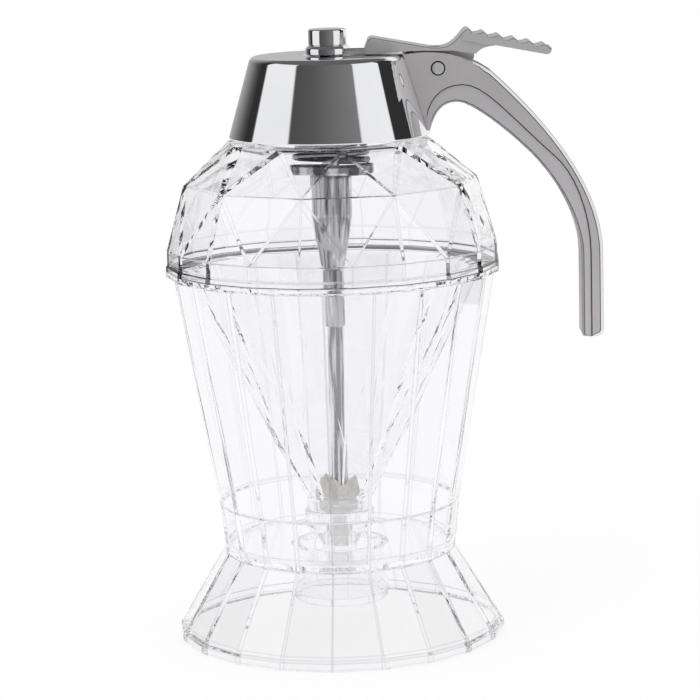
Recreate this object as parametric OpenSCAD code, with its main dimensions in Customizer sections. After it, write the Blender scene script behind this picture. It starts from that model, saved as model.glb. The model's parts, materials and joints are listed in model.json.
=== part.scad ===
// Honey dispenser: a gem-cut clear jar that hangs in a clear faceted stand.
// A thumb lever on the handle lifts a rod, and the rod lifts a plug out of the spout.
// Origin: centre of the stand's foot. +Z is up, and the handle points along +X.

/* [Stand] */
// Number of flat panels round the stand
stand_sides = 20; // [16:1:24]
// Turn of the stand's panel edges about the axis, degrees
stand_turn = -3.8; // [-9:0.1:9]
// Height of the stand
stand_h = 97.4; // [92:0.2:104]
// How far the foot's corners stand inside the flange's corners
foot_inset = 0.5; // [0:0.1:2]
// Height of the foot's upright rim
foot_rim_h = 2.3; // [1.6:0.1:3.5]
// Width of the bevel above and below the foot's rim
foot_bevel = 0.6; // [0.3:0.1:1]
// Corner radius at the waist
waist_r = 31; // [28:0.1:33]
// Height of the waist above the table
waist_h = 23.2; // [20:0.1:26]
// Corner radius at the crease above the waist
crease_r = 32.4; // [30:0.1:35]
// Height of the crease above the waist
crease_rise = 13.2; // [10:0.1:16]
// Width of the ledge inside the crease
crease_ledge = 0.5; // [0.2:0.1:0.8]
// Wall of the stand
stand_wall = 2.2; // [1.8:0.1:2.8]
// Thickness of the stand's floor
floor_t = 2.2; // [1.8:0.1:3]
// Outer radius of the drip cup
cup_r = 12.5; // [10:0.1:13.5]
// Wall of the drip cup
cup_wall = 1.8; // [1.4:0.1:2.2]
// Depth of the drip cup below the floor's top
cup_depth = 15.6; // [12:0.1:18]

/* [Jar] */
// Number of corners round the girdle, twice the number at the bends
jar_corners = 20; // [16:2:28]
// Turn of the jar's corners about the axis, degrees
jar_turn = 6.5; // [-15:0.5:15]
// Corner radius of the girdle
jar_r = 43.8; // [42:0.1:46]
// How far the flange stands proud of the girdle
flange_proud = 0.4; // [0.2:0.1:1]
// Height of the flange that rests on the stand
flange_h = 3.2; // [2.6:0.1:4]
// Height of the girdle's upright band
girdle_h = 3.9; // [3:0.1:6]
// Corner radius of the dome's bend
bend_r = 39; // [37:0.1:41]
// Rise from the girdle to the dome's bend
bend_rise = 16.8; // [14:0.1:18]
// Corner radius of the dome's shoulder
shoulder_r = 27.4; // [27:0.1:30]
// Rise from the bend to the shoulder
shoulder_rise = 10.8; // [9:0.1:13]
// Wall of the jar
jar_wall = 2.2; // [1.8:0.1:2.6]
// Outer radius of the neck that takes the cap
neck_r = 20; // [19:0.1:20.4]
// Height of the neck above the shoulder
neck_h = 10.8; // [9:0.1:11.6]
// Depth of the cone below the flange
cone_h = 60.2; // [56:0.1:61]
// Depth of the cone's bend below the flange
cone_bend_drop = 43.4; // [40:0.1:46]
// Corner radius at the cone's bend
cone_bend_r = 18; // [16:0.1:20]
// Outer radius of the jar's lower neck
tip_neck_r = 8.4; // [8:0.1:9]
// Length of the jar's lower neck
tip_neck_h = 3.6; // [3:0.1:4.5]

/* [Spout] */
// Radius of the bead
bead_r = 9; // [8.6:0.1:9.6]
// Height of the bead
bead_h = 5.3; // [4.5:0.1:6]
// Length of the outlet below the bead
outlet_h = 11.1; // [9:0.1:12]
// Outer radius at the outlet's end
outlet_r = 3.1; // [2.9:0.1:3.6]
// Bore radius at the outlet's end
outlet_bore_r = 2.1; // [1.8:0.1:2.3]

/* [Cap] */
// Outer radius of the cap's lower edge
cap_base_r = 26.5; // [26:0.1:28]
// Outer radius of the cap below its top rounding
cap_top_r = 20.9; // [20.7:0.1:23]
// Height of the cap
cap_h = 21.1; // [20.6:0.1:24]
// Radius of the rounding round the cap's top
cap_round = 1.9; // [1:0.1:2.5]
// Thickness of the chrome shell
shell_t = 1.3; // [1:0.1:1.6]
// Thickness of the liner's sleeve
liner_t = 1.8; // [1.5:0.1:2.2]
// Thickness of the liner's top
liner_top_t = 2.5; // [2:0.1:3]
// Gap between the jar's shoulder and the cap's lower edge
cap_gap = 1.2; // [0.8:0.1:2.5]
// Thickness of the gasket
gasket_t = 1.3; // [1:0.1:1.6]

/* [Handle] */
// Thickness of the handle across its cheeks
handle_w = 12; // [11:0.1:14]
// Reach of the handle from the axis
handle_reach = 71; // [68:0.1:78]
// Drop of the handle's tip below the cap's top
handle_drop = 75.4; // [70:0.1:84]
// Thickness of the grip
grip_t = 5.6; // [5:0.1:7]
// Height of the grip's straight part
grip_h = 21.9; // [16:0.1:28]
// Distance of the handle's bow from the axis
bow_out = 42.3; // [40:0.1:46]
// Drop of the bow below the cap's top
bow_drop = 4.9; // [4:0.1:7]
// Distance of the handle's elbow from the axis
elbow_out = 50.5; // [48:0.1:53]
// Drop of the elbow below the cap's top
elbow_drop = 24.6; // [22:0.1:27]
// Distance of the throat's crown from the axis
throat_out = 33.5; // [32:0.1:35]
// Drop of the throat's crown below the cap's top
throat_drop = 12.7; // [11.5:0.1:14]
// Height of the handle's heel above the cap's lower edge
heel_rise = 1.2; // [0.6:0.1:3]
// Width of the bevel round the handle's spine
spine_bevel = 0.9; // [0.5:0.1:1.2]
// Depth of the step along the handle's cheeks
cheek_step = 0.5; // [0.3:0.1:0.8]
// Radius of the lever's pin
pin_r = 1.9; // [1.5:0.1:2.1]
// Distance of the lever's pin from the axis
pin_out = 28.5; // [28:0.1:30]
// Drop of the lever's pin below the cap's top
pin_drop = 3.8; // [3.6:0.1:4.4]
// Width of the slot between the cheeks
slot_w = 4.6; // [4:0.1:5.4]
// Distance of the slot's end from the axis
slot_end = 42; // [41:0.1:43]

/* [Lever] */
// Width of the lever's thumb pad
lever_w = 13; // [11.5:0.1:15]
// Width of the lever's arm
arm_w = 11; // [9:0.1:11.4]
// Distance of the lever's nose from the axis
nose_out = 9.8; // [9.4:0.1:12]
// Rise of the nose above the cap's top
nose_rise = 4.5; // [3.5:0.1:5.5]
// Distance of the first ridge from the lever's pin
pad_out = 7.9; // [7:0.1:9]
// Rise of the first ridge's centre above the cap's top
pad_rise = 5; // [4.6:0.1:5.4]
// Number of ridges on the thumb pad
ridges = 6; // [4:1:6]
// Spacing of the ridges
ridge_pitch = 3.95; // [3.6:0.05:4.2]
// Radius of each ridge
ridge_r = 1.15; // [1:0.05:1.25]
// Fall of the thumb pad, degrees
pad_slope = 12.6; // [9:0.1:14]
// Thickness of the lever's two prongs
prong_t = 1.1; // [0.8:0.05:1.3]
// Width of each prong
prong_w = 1.2; // [1:0.1:1.5]

/* [Plunger] */
// Radius of the rod
rod_r = 2.1; // [1.8:0.1:2.2]
// Radius of the knob
knob_r = 5; // [4.5:0.1:5.4]
// Height of the knob
knob_h = 4.3; // [3.8:0.1:6]
// Radius of the collar
collar_r = 5.8; // [5.6:0.1:6.2]
// Thickness of the collar's disc
collar_t = 1.05; // [0.9:0.05:1.4]
// Wall of the collar's skirt
collar_wall = 0.9; // [0.7:0.1:1]
// Radius of the spring plate
plate_r = 11; // [10.6:0.1:12]
// Drop of the spring plate below the cap's top
plate_drop = 26.9; // [26:0.1:32]
// Height of the spring plate's rim
plate_h = 2.4; // [1.8:0.1:4]
// Thickness of the spring plate
plate_t = 1.2; // [1:0.1:1.5]
// Outer radius of the sleeve
sleeve_r = 5.3; // [4.8:0.1:6]
// Length of the sleeve
sleeve_h = 27.4; // [22:0.1:30]
// Outer radius of the sleeve's foot
sleeve_foot_r = 3.1; // [2.9:0.1:4]
// Length of the sleeve's taper
sleeve_taper_h = 13.4; // [8:0.1:18]
// Outer radius of the stop below the sleeve
stop_r = 2.8; // [2.7:0.1:3.4]
// Length of the stop
stop_h = 15.6; // [10:0.1:18]

/* [Spring] */
// Mean radius of the spring
spring_r = 9.2; // [8.4:0.1:9.4]
// Diameter of the spring's wire
wire_d = 1.4; // [1.1:0.1:1.5]
// Number of turns
spring_turns = 7; // [5:0.5:8]

/* [Valve] */
// Radius of the plug at its widest
plug_r = 5.2; // [4.8:0.1:5.4]
// Height of the plug's crown of fins
crown_h = 8.8; // [7:0.1:10]
// Number of fins in the crown
crown_fins = 6; // [5:1:7]
// Width of each fin
fin_w = 2.6; // [2:0.1:3]
// Height of the plug's seat cone
seat_h = 5; // [4:0.1:5.2]
// Radius of the plug's lower stem
stem_r = 2.5; // [2.4:0.1:2.8]
// Length of the plug's lower stem
stem_h = 5; // [4:0.1:6]

/* [Fits] */
// Gap between pieces that rest on one another and part in use
seat_gap = 0.1; // [0.05:0.01:0.2]
// Gap round the screwed cap and other loose fits
loose_gap = 0.3; // [0.25:0.05:0.4]
// Radial gap of a shaft that runs in a hole
run_gap = 0.05; // [0.02:0.01:0.1]
// Radial gap between pieces that are glued or pressed together
glue_gap = 0.03; // [0.01:0.01:0.05]

/* [Hidden] */
$fn = 72;
eps = 0.01;

// Heights of the jar, from the stand's top upwards
flange_z = stand_h + seat_gap;
flange_top_z = flange_z + flange_h;
part_z = flange_z + flange_h / 2;
girdle_z = flange_top_z + girdle_h;
bend_z = girdle_z + bend_rise;
shoulder_z = bend_z + shoulder_rise;
neck_z = shoulder_z + neck_h;
// Heights of the jar, from the flange downwards
cone_bend_z = flange_z - cone_bend_drop;
cone_tip_z = flange_z - cone_h;
spout_z = cone_tip_z - tip_neck_h;
bead_z = spout_z - bead_h;
outlet_z = bead_z - outlet_h;
// Heights of the cap
cap_z = shoulder_z + cap_gap;
cap_top_z = cap_z + cap_h;
liner_top_z = cap_top_z - shell_t;
ceiling_z = liner_top_z - liner_top_t;
land_z = neck_z + gasket_t + 2 * seat_gap;

// Broken edge of the flange
flange_edge = 0.3;
// Extra wall where the jar's panels lean, so that the wall stays even across them
lean_wall = 0.2;
lean_drop = 0.8;

// Radii that follow from the ones above
flange_r = jar_r + flange_proud;
foot_r = flange_r - foot_inset;
mouth_inset = 1.5;
mouth_r = flange_r - mouth_inset;
cone_gap = 2.3;
cone_top_r = (mouth_r - stand_wall) * cos(180 / stand_sides) - cone_gap;
half_turn = 180 / (jar_corners / 2);
cap_slope = (cap_base_r - cap_top_r) / (cap_h - cap_round);
cap_tilt = atan(cap_slope);
neck_bore_r = neck_r - jar_wall;
tip_wall = 2;
tip_bore_r = tip_neck_r - tip_wall;
liner_bore_r = neck_r + loose_gap;

// Outer radius of the cap at a height
function cap_r_at(z) = cap_base_r - cap_slope * (z - cap_z);

// ---- Faceted solids ----
// A ring is [corners, radius, height, turn].
function ring_points(g) = [
    for (k = [0 : g[0] - 1])
        let (a = g[3] + 360 * k / g[0]) [g[1] * cos(a), g[1] * sin(a), g[2]]
];
function ring_start(rings, i) = i == 0 ? 0 : ring_start(rings, i - 1) + rings[i - 1][0];
function wrap(k, n) = ((k % n) + n) % n;
// Index of the corner of ring g that is nearest to angle a, lower one at a tie if down is set
function nearest(g, a, down) =
    let (k = (a - g[3]) * g[0] / 360)
        wrap(down ? ceil(k - 0.5 - eps) : floor(k + 0.5 + eps), g[0]);
// Triangles between a lower ring and the ring above it
function band(lo, hi, s, t) = concat(
    [for (k = [0 : lo[0] - 1])
        let (a = lo[3] + 360 * (k + 0.5) / lo[0])
            [s + k, t + nearest(hi, a, false), s + wrap(k + 1, lo[0])]],
    [for (k = [0 : hi[0] - 1])
        let (a = hi[3] + 360 * (k + 0.5) / hi[0])
            [t + k, t + wrap(k + 1, hi[0]), s + nearest(lo, a, true)]]
);
// Closed solid over a stack of rings, from the lowest ring to the highest
module faceted(rings) {
    last = len(rings) - 1;
    top = ring_start(rings, last);
    points = [for (g = rings) each ring_points(g)];
    sides = [for (i = [0 : last - 1])
        each band(rings[i], rings[i + 1], ring_start(rings, i), ring_start(rings, i + 1))];
    foot = [for (k = [0 : rings[0][0] - 1]) k];
    lid = [for (k = [rings[last][0] - 1 : -1 : 0]) top + k];
    polyhedron(points, concat([foot], sides, [lid]), convexity = 6);
}

// ---- Curves ----
// Point at u on a cubic curve with four control points
function bezier_at(p, u) =
    pow(1 - u, 3) * p[0] + 3 * u * pow(1 - u, 2) * p[1] + 3 * u * u * (1 - u) * p[2] + pow(u, 3) * p[3];
// Place between p and q, at one share of the way across and another of the way up
function between(p, q, share) = [p[0] + (q[0] - p[0]) * share[0], p[1] + (q[1] - p[1]) * share[1]];
// Curve from p to q, without p itself, whose control points lie at shares of the way
function bend(p, q, first, second, steps) =
    let (c = [p, between(p, q, first), between(p, q, second), q])
        [for (i = [1 : steps]) bezier_at(c, i / steps)];
// Points of an arc in a profile
function arc(c, r, from, to, steps) = [
    for (i = [0 : steps])
        let (a = from + (to - from) * i / steps) [c[0] + r * cos(a), c[1] + r * sin(a)]
];
// Upright plate across the Y axis, from a profile in X and Z
module upright(width, profile) {
    rotate([90, 0, 0])
        linear_extrude(width, center = true)
            polygon(profile);
}

// Upright plate across the Y axis whose outline is drawn in at both faces, by a distance for each point.
// It is made too wide, with the bevels carried on, and then cut to its width.
module bevelled_upright(width, outline, bevels) {
    n = len(outline);
    drawn_in = [for (i = [0 : n - 1])
        let (d = outline[(i + 1) % n] - outline[(i + n - 1) % n])
            outline[i] + 2 * bevels[i] * [d[1], -d[0]] / norm(d)];
    layers = [
        [-width / 2 - spine_bevel, drawn_in],
        [-width / 2 + spine_bevel, outline],
        [width / 2 - spine_bevel, outline],
        [width / 2 + spine_bevel, drawn_in]
    ];
    points = [for (g = layers) for (q = g[1]) [q[0], g[0], q[1]]];
    sides = [for (g = [0 : len(layers) - 2]) for (i = [0 : n - 1])
        let (a = g * n + i, b = g * n + (i + 1) % n)
            each [[a, a + n, b], [b, a + n, b + n]]];
    front = [for (i = [0 : n - 1]) i];
    back = [for (i = [n - 1 : -1 : 0]) (len(layers) - 1) * n + i];
    intersection() {
        polyhedron(points, concat([front], sides, [back]), convexity = 8);
        translate([0, -width / 2, 0])
            cube([2 * handle_reach, width, 2 * cap_top_z]);
    }
}

// ---- Stand ----
module stand() {
    n = stand_sides;
    t = stand_turn;
    floor_round = 0.6;
    floor_round_h = 1.5;
    cup_lap = 0.4;
    inner_floor_z = waist_h + floor_t / 2;
    under_floor_z = waist_h - floor_t / 2;
    skirt_slope = (foot_r - foot_bevel - waist_r) / (waist_h - foot_rim_h - foot_bevel);
    skirt_wall = stand_wall * 1.15;
    skirt_in_foot = foot_r - foot_bevel - skirt_wall + skirt_slope * (foot_rim_h + foot_bevel);
    skirt_in_top = skirt_in_foot - skirt_slope * under_floor_z;
    color([0.86, 0.87, 0.92, 0.4]) {
        difference() {
            faceted([
                [n, foot_r - foot_bevel, 0, t],
                [n, foot_r, foot_bevel, t],
                [n, foot_r, foot_rim_h, t],
                [n, foot_r - foot_bevel, foot_rim_h + foot_bevel, t],
                [n, waist_r, waist_h, t],
                [n, crease_r, waist_h + crease_rise, t],
                [n, mouth_r, stand_h, t]
            ]);
            faceted([
                [n, foot_r - foot_bevel - skirt_wall, -1, t],
                [n, foot_r - foot_bevel - skirt_wall, foot_rim_h + foot_bevel, t],
                [n, skirt_in_top, under_floor_z, t]
            ]);
            faceted([
                [n, waist_r - stand_wall - crease_ledge - floor_round, inner_floor_z, t],
                [n, waist_r - stand_wall - crease_ledge, inner_floor_z + floor_round_h, t],
                [n, crease_r - stand_wall - crease_ledge, waist_h + crease_rise - crease_ledge, t],
                [n, crease_r - stand_wall, waist_h + crease_rise, t],
                [n, mouth_r - stand_wall, stand_h, t],
                [n, mouth_r - stand_wall, stand_h + 1, t]
            ]);
            translate([0, 0, under_floor_z - 1])
                cylinder(r = cup_r - cup_lap, h = floor_t + 2);
        }
        drip_cup(inner_floor_z);
    }
}
// Round cup below the floor that catches the last drop
module drip_cup(floor_z) {
    foot_z = floor_z - cup_depth;
    bore_r = cup_r - cup_wall;
    round_r = 1;
    translate([0, 0, foot_z])
        rotate_extrude()
            polygon(concat(
                [[0, 0]],
                arc([cup_r - round_r, round_r], round_r, -90, 0, 4),
                [[cup_r, cup_depth], [bore_r, cup_depth]],
                arc([bore_r - round_r, cup_wall + round_r], round_r, 0, -90, 4),
                [[0, cup_wall]]
            ));
}

// ---- Jar ----
module jar_dome() {
    n = jar_corners;
    h = n / 2;
    t = jar_turn;
    w = jar_wall;
    color([0.86, 0.87, 0.92, 0.4])
        difference() {
            union() {
                faceted([
                    [n, flange_r, part_z, t],
                    [n, flange_r, flange_top_z - flange_edge, t],
                    [n, flange_r - flange_edge, flange_top_z, t],
                    [n, jar_r, flange_top_z + flange_edge, t],
                    [n, jar_r, girdle_z, t],
                    [h, bend_r, bend_z, t],
                    [h, shoulder_r, shoulder_z, t + half_turn]
                ]);
                translate([0, 0, shoulder_z - 1])
                    cylinder(r = neck_r, h = neck_h + 1);
            }
            faceted([
                [n, jar_r - w, part_z - 1, t],
                [n, jar_r - w, girdle_z - lean_drop / 2, t],
                [h, bend_r - w - lean_wall, bend_z - lean_drop, t],
                [h, shoulder_r - w - 2 * lean_drop, shoulder_z - w, t + half_turn]
            ]);
            translate([0, 0, shoulder_z - w - 1])
                cylinder(r = neck_bore_r, h = neck_h + w + 2);
        }
}
module jar_cone() {
    n = jar_corners;
    h = n / 2;
    t = jar_turn;
    w = jar_wall;
    // the cone's panels end just outside the round neck and its bore
    tip_land = 0.15;
    color([0.86, 0.87, 0.92, 0.4])
        difference() {
            union() {
                faceted([
                    [h, tip_neck_r / cos(half_turn) + tip_land, cone_tip_z, t + half_turn],
                    [h, cone_bend_r, cone_bend_z, t + half_turn],
                    [n, cone_top_r, flange_z, t],
                    [n, flange_r - flange_edge, flange_z, t],
                    [n, flange_r, flange_z + flange_edge, t],
                    [n, flange_r, part_z, t]
                ]);
                translate([0, 0, spout_z])
                    cylinder(r = tip_neck_r, h = tip_neck_h + 1);
            }
            faceted([
                [h, tip_bore_r / cos(half_turn) + tip_land, cone_tip_z + w / 2, t + half_turn],
                [h, cone_bend_r - w - lean_wall, cone_bend_z + lean_drop, t + half_turn],
                [n, cone_top_r - w - lean_wall, flange_z + lean_drop / 2, t],
                [n, jar_r - w, part_z, t],
                [n, jar_r - w, part_z + 1, t]
            ]);
            translate([0, 0, spout_z - 1])
                cylinder(r = tip_bore_r, h = tip_neck_h + 4);
        }
}

// ---- Spout ----
// The plug's seat cone runs from just above the bead's top down to the outlet's bore.
seat_rise = 0.8;
seat_top_z = spout_z + seat_rise;
seat_foot_z = seat_top_z - seat_h;
valve_gap = 0.15;
leg_drop = 1;
throat_r = stem_r + loose_gap;
throat_foot_z = seat_foot_z - stem_h - leg_drop - loose_gap;
plug_top_z = seat_top_z + crown_h;
module spout() {
    shoulder_r = 4.8;
    shoulder_drop = 4.7;
    bead_foot_round = 1.5;
    bead_top_round = 0.6;
    outlet_edge = 0.4;
    outlet_step_h = 1.5;
    socket_h = 2.8;
    socket_wall = 0.5;
    foot_r = bead_r - bead_foot_round;
    color([0.86, 0.87, 0.92, 0.4])
        rotate_extrude()
            polygon(concat(
                [[outlet_bore_r, outlet_z], [outlet_r - outlet_edge, outlet_z], [outlet_r, outlet_z + outlet_edge]],
                [[shoulder_r, bead_z - shoulder_drop], [foot_r, bead_z]],
                arc([foot_r, bead_z + bead_foot_round], bead_foot_round, -90, 0, 5),
                arc([bead_r - bead_top_round, spout_z - bead_top_round], bead_top_round, 0, 90, 3),
                [[tip_bore_r - glue_gap, spout_z], [tip_bore_r - glue_gap, spout_z + socket_h]],
                [[tip_bore_r - socket_wall, spout_z + socket_h]],
                [[plug_r + valve_gap, seat_top_z], [throat_r, seat_foot_z]],
                [[throat_r, throat_foot_z], [outlet_bore_r, throat_foot_z - outlet_step_h]]
            ));
}

// ---- Cap ----
gasket_inset = 0.4;
land_bore_r = neck_bore_r + gasket_inset;
module cap_gasket() {
    color([0.88, 0.87, 0.83])
        translate([0, 0, neck_z + seat_gap])
            difference() {
                cylinder(r = neck_r, h = gasket_t);
                translate([0, 0, -1])
                    cylinder(r = land_bore_r, h = gasket_t + 2);
            }
}
liner_r = neck_r + loose_gap + liner_t;
bush_r = 3.5;
bush_flange_r = 6.3;
bush_clear = 0.1;
screw_clear = 0.2;
cap_edge = 0.3;
module cap_shell() {
    inner_top_z = cap_top_z - shell_t;
    round_in = cap_top_r - cap_round / cos(cap_tilt);
    color([0.82, 0.83, 0.85])
        difference() {
            rotate_extrude()
                polygon(concat(
                    [[bush_flange_r + bush_clear, cap_top_z], [bush_flange_r + bush_clear, inner_top_z]],
                    [[cap_r_at(inner_top_z) - shell_t, inner_top_z]],
                    [[cap_base_r - shell_t, cap_z], [cap_base_r - cap_edge, cap_z]],
                    [[cap_r_at(cap_z + cap_edge), cap_z + cap_edge]],
                    arc([round_in, cap_top_z - cap_round], cap_round, cap_tilt, 90, 8)
                ));
            handle_screw_places(screw_r + screw_clear);
        }
}
module cap_liner() {
    foot_z = cap_z + 2 * cap_edge;
    meet_z = cap_z + (cap_base_r - shell_t - glue_gap - liner_r) / cap_slope;
    top_r = cap_r_at(liner_top_z) - shell_t - glue_gap;
    color([0.9, 0.9, 0.9])
        difference() {
            rotate_extrude()
                polygon([
                    [bush_r + glue_gap, liner_top_z],
                    [bush_r + glue_gap, ceiling_z],
                    [land_bore_r, ceiling_z],
                    [land_bore_r, land_z],
                    [liner_bore_r, land_z],
                    [liner_bore_r, foot_z],
                    [liner_r, foot_z],
                    [liner_r, meet_z],
                    [top_r, liner_top_z]
                ]);
            handle_screw_places(screw_r + screw_clear);
            handle_screw_heads(screw_head_r + loose_gap);
        }
}
module guide_bush() {
    bush_past_nut = 0.8;
    bush_foot_z = ceiling_z - nut_h - bush_past_nut;
    color([0.7, 0.7, 0.72])
        difference() {
            union() {
                translate([0, 0, liner_top_z])
                    cylinder(r = bush_flange_r, h = shell_t - bush_clear);
                translate([0, 0, bush_foot_z])
                    cylinder(r = bush_r, h = liner_top_z - bush_foot_z + eps);
            }
            translate([0, 0, bush_foot_z - 1])
                cylinder(r = rod_r + run_gap, h = cap_h);
        }
}
nut_h = 2.4;
nut_af = 10;
module bush_nut() {
    color([0.62, 0.62, 0.64])
        translate([0, 0, ceiling_z - nut_h])
            difference() {
                cylinder(r = nut_af / 2 / cos(30), h = nut_h, $fn = 6);
                translate([0, 0, -1])
                    cylinder(r = bush_r + glue_gap, h = nut_h + 2);
            }
}

// ---- Handle ----
eye_wall = 1.7;
eye_r = pin_r + eye_wall;
slot_floor_z = cap_top_z - pin_drop - eye_r - 2 * loose_gap;
screw_r = 1.2;
screw_head_r = 2.2;
screw_y = 4.1;
screw_drop = 6.6;
screw_pin_gap = 0.8;
screw_z = cap_top_z - screw_drop;
screw_seat_x = land_bore_r + gasket_inset;
screw_end_x = pin_out - pin_r - screw_pin_gap;
module handle_screw_places(r) {
    for (side = [-1, 1])
        translate([0, side * screw_y, screw_z])
            rotate([0, 90, 0])
                cylinder(r = r, h = screw_end_x);
}
module handle_screw_heads(r) {
    for (side = [-1, 1])
        translate([0, side * screw_y, screw_z])
            rotate([0, 90, 0])
                cylinder(r = r, h = screw_seat_x);
}
module handle_screws() {
    head_h = 1.2;
    color([0.6, 0.6, 0.62]) {
        for (side = [-1, 1]) {
            translate([screw_seat_x - head_h, side * screw_y, screw_z])
                rotate([0, 90, 0])
                    cylinder(r = screw_head_r, h = head_h);
            translate([screw_seat_x - eps, side * screw_y, screw_z])
                rotate([0, 90, 0])
                    cylinder(r = screw_r, h = screw_end_x - screw_seat_x);
        }
    }
}
pin_z = cap_top_z - pin_drop;
tip_z = cap_top_z - handle_drop;
// The handle's main places in X and Z
root_sink = 0.4;
root = [cap_top_r - root_sink, cap_top_z];
bow = [bow_out, cap_top_z - bow_drop];
grip_out = [handle_reach, tip_z + grip_h];
grip_in = grip_out - [grip_t, 0];
elbow = [elbow_out, cap_top_z - elbow_drop];
throat = [throat_out, cap_top_z - throat_drop];
heel = [cap_r_at(cap_z + heel_rise) + glue_gap, cap_z + heel_rise];
spine_curve = concat(
    [root],
    bend(root, bow, [0.16, -0.14], [0.6, -0.26], 10),
    bend(bow, grip_out, [0.51, 0.28], [1, 0.63], 18)
);
belly_curve = concat(
    [grip_in],
    bend(grip_in, elbow, [0, 0.33], [0.46, 0.74], 12),
    bend(elbow, throat, [0.24, 0.34], [0.79, 1], 8),
    bend(throat, heel, [0.29, 0], [0.75, 0.04], 10)
);
// Line along each cheek, from the cap to the tip, where the inner half steps down
line_root = [heel[0] - heel_rise, heel[1] + heel_rise / 3];
line_crown = between(throat, [pin_out, pin_z], [-0.25, 0.49]);
line_knee = between(elbow, bow, [-1.05, -0.18]);
line_grip = between(grip_in, grip_out, [0.4, 0]);
step_curve = concat(
    [line_root],
    bend(line_root, line_crown, [0.04, 0.67], [0.42, 1], 8),
    bend(line_crown, line_knee, [0.23, 0], [0.45, 0.37], 8),
    bend(line_knee, line_grip, [0.45, 0.14], [1, 0.52], 8),
    [[line_grip[0], tip_z - grip_t]]
);
// Rounded tip, square to the grip: the outer corner is rounder than the inner one
tip_round = 0.35 * grip_t;
tip_curve = concat(
    arc([handle_reach - tip_round, tip_z + tip_round], tip_round, 0, -90, 6),
    arc([handle_reach - grip_t + tip_round / 3, tip_z + tip_round / 3], tip_round / 3, -90, -180, 3)
);
module handle() {
    inside_x = root[0] - cap_round;
    outline = concat(spine_curve, tip_curve, belly_curve, [[inside_x, heel[1]], [inside_x, cap_top_z]]);
    // the bevel grows along the slot and ends at the tip's inner corner
    bevel_last = len(spine_curve) + len(tip_curve) - 5;
    bevels = [for (i = [0 : len(outline) - 1])
        let (grown = (outline[i][0] - throat_out) / (slot_end - throat_out))
            i > bevel_last ? 0 : spine_bevel * min(1, max(0, grown))];
    color([0.66, 0.66, 0.66])
        difference() {
            bevelled_upright(handle_w, outline, bevels);
            // the inner half of each cheek
            for (side = [-1, 1])
                translate([0, side * handle_w / 2, 0])
                    upright(2 * cheek_step, concat(
                        step_curve,
                        [[throat[0], tip_z - grip_t], [inside_x - cap_round, cap_z]]
                    ));
            // seat against the cap's cone
            translate([0, 0, cap_z - cap_round])
                cylinder(
                    r1 = cap_r_at(cap_z - cap_round) + glue_gap,
                    r2 = cap_r_at(cap_top_z + cap_round) + glue_gap,
                    h = cap_h + 2 * cap_round
                );
            // slot for the lever
            upright(slot_w, [
                [inside_x - cap_round, cap_top_z + cap_round],
                [inside_x - cap_round, pin_z],
                [pin_out - eye_r, slot_floor_z],
                [pin_out + eye_r, slot_floor_z],
                [slot_end, bow[1] - pin_r / 2],
                [slot_end, cap_top_z + cap_round]
            ]);
            translate([pin_out, 0, pin_z])
                rotate([90, 0, 0])
                    cylinder(r = pin_r + glue_gap, h = handle_w + 2, center = true);
            handle_screw_places(screw_r + glue_gap);
        }
}
module lever_pin() {
    color([0.7, 0.7, 0.7])
        translate([pin_out, 0, pin_z])
            rotate([90, 0, 0])
                cylinder(r = pin_r, h = handle_w, center = true);
}

// ---- Lever ----
prong_rise = 0.25;
arm_rise = 0.8;
prong_gap = 0.4;
prong_z = cap_top_z + prong_rise;
module thumb_lever() {
    under_z = cap_top_z + arm_rise;
    first = [pin_out + pad_out, cap_top_z + pad_rise];
    fall = [ridge_pitch, -ridge_pitch * tan(pad_slope)];
    last = first + (ridges - 1) * fall;
    nose_top = [nose_out + ridge_r * 1.5, cap_top_z + nose_rise];
    saddle = [pin_out - ridge_r * 1.3, under_z + ridge_r * 0.6];
    brow = first + ridge_r * [-1.05, 0.4];
    pad_corner = first + ridge_r * [-1.1, -1.3];
    fork = first + ridge_r * [6.1, -2.9];
    neck_foot = [pin_out + pad_out + ridge_r * 1.8, under_z - ridge_r];
    rib_w = slot_w - 2 * loose_gap;
    color([0.7, 0.7, 0.69])
        difference() {
            union() {
                // arm, from the nose over the pin and up to the pad
                upright(arm_w, concat(
                    [[nose_out, prong_z], [nose_out - ridge_r * 0.2, prong_z + prong_t]],
                    [nose_top - ridge_r * [0.8, 0.4], nose_top, saddle],
                    bend(saddle, brow, [0.55, -0.09], [0.71, 0.26], 6),
                    [fork],
                    bend(fork, neck_foot, [0.49, 0.02], [0.85, 0.45], 6),
                    [[pin_out + pad_out / 2, under_z - prong_rise / 2], [pin_out - pad_out, under_z]],
                    [[pin_out - 2 * pad_out, prong_z]]
                ));
                // thumb pad, with a wave of ridges along its top
                upright(lever_w, concat(
                    [pad_corner, brow],
                    [for (i = [0 : ridges - 1]) each arc(first + i * fall, ridge_r, 130, -15, 6)],
                    arc(last + ridge_r * [0.6, -0.2], ridge_r * 1.05, 30, -103, 6)
                ));
                // rib and eye in the handle's slot
                upright(rib_w, [
                    [pin_out - 2 * eye_r, under_z + ridge_r],
                    [pin_out - eye_r, pin_z],
                    [pin_out + eye_r, pin_z],
                    [neck_foot[0] - ridge_r * 0.4, cap_top_z - pin_r],
                    [neck_foot[0], under_z + ridge_r * 0.2]
                ]);
                translate([pin_out, 0, pin_z])
                    rotate([90, 0, 0])
                        cylinder(r = eye_r, h = rib_w, center = true);
                for (side = [-1, 1])
                    prong(side);
            }
            translate([pin_out, 0, pin_z])
                rotate([90, 0, 0])
                    cylinder(r = pin_r + run_gap, h = lever_w, center = true);
        }
}
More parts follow.
